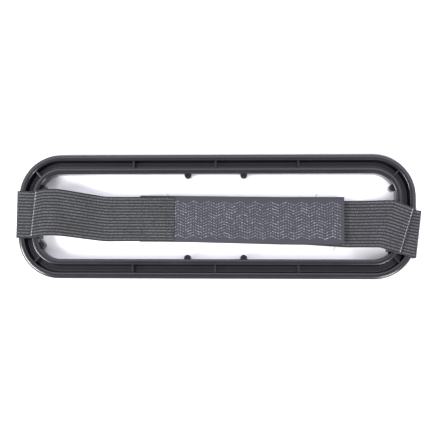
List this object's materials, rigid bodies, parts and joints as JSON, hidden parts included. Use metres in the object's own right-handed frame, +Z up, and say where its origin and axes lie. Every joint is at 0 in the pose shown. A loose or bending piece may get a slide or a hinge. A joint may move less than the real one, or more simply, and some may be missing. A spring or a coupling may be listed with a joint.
{
  "type": "strap frame",
  "caption": "Open oblong moulded plastic frame, hollow at the back, with an elastic hook-and-loop strap lengthwise across it, looped round both end bars.",
  "frame": {"origin": "on the resting surface, under the middle of the frame", "axes": "+X along the frame towards the slanted right-hand fold, +Y across the frame, +Z up through its hollow back"},
  "size_m": [0.3294, 0.1016, 0.0185],
  "materials": {
    "frame_plastic": "semi-gloss moulded black plastic",
    "left_elastic": "ribbed woven elastic, dark olive grey",
    "right_elastic": "ribbed woven elastic, dark grey",
    "hook_tape": "woven nylon tape back with herringbone of hook roots",
    "loop_tape": "brushed nylon pile",
    "thread": "black sewing thread"
  },
  "bodies": {
    "frame": {"frame": "frame_plastic", "left_end_loop": "left_elastic", "left_loop_seam": "thread", "right_end_loop": "right_elastic", "right_loop_seam": "thread"},
    "left_strap": {"left_elastic": "left_elastic", "hook_tape": "hook_tape", "hook_tape_stitching": "thread"},
    "right_strap": {"right_elastic": "right_elastic", "loop_tape": "loop_tape", "loop_tape_stitching": "thread"}
  },
  "joints": [
    {"name": "left_strap_fold", "type": "hinge", "parent": "frame", "child": "left_strap", "pos_m": [-0.1486, 0.0018, 0.01715], "axis": [-0.0906, -0.9959, 0], "range_deg": [0, 140]},
    {"name": "right_strap_fold", "type": "hinge", "parent": "frame", "child": "right_strap", "pos_m": [0.1532, -0.0116, 0.01715], "axis": [0.2924, 0.9563, 0], "range_deg": [0, 56]}
  ],
  "couplings": [
    {"joint": "right_strap_fold", "follows": "left_strap_fold", "ratio": 0.4}
  ]
}
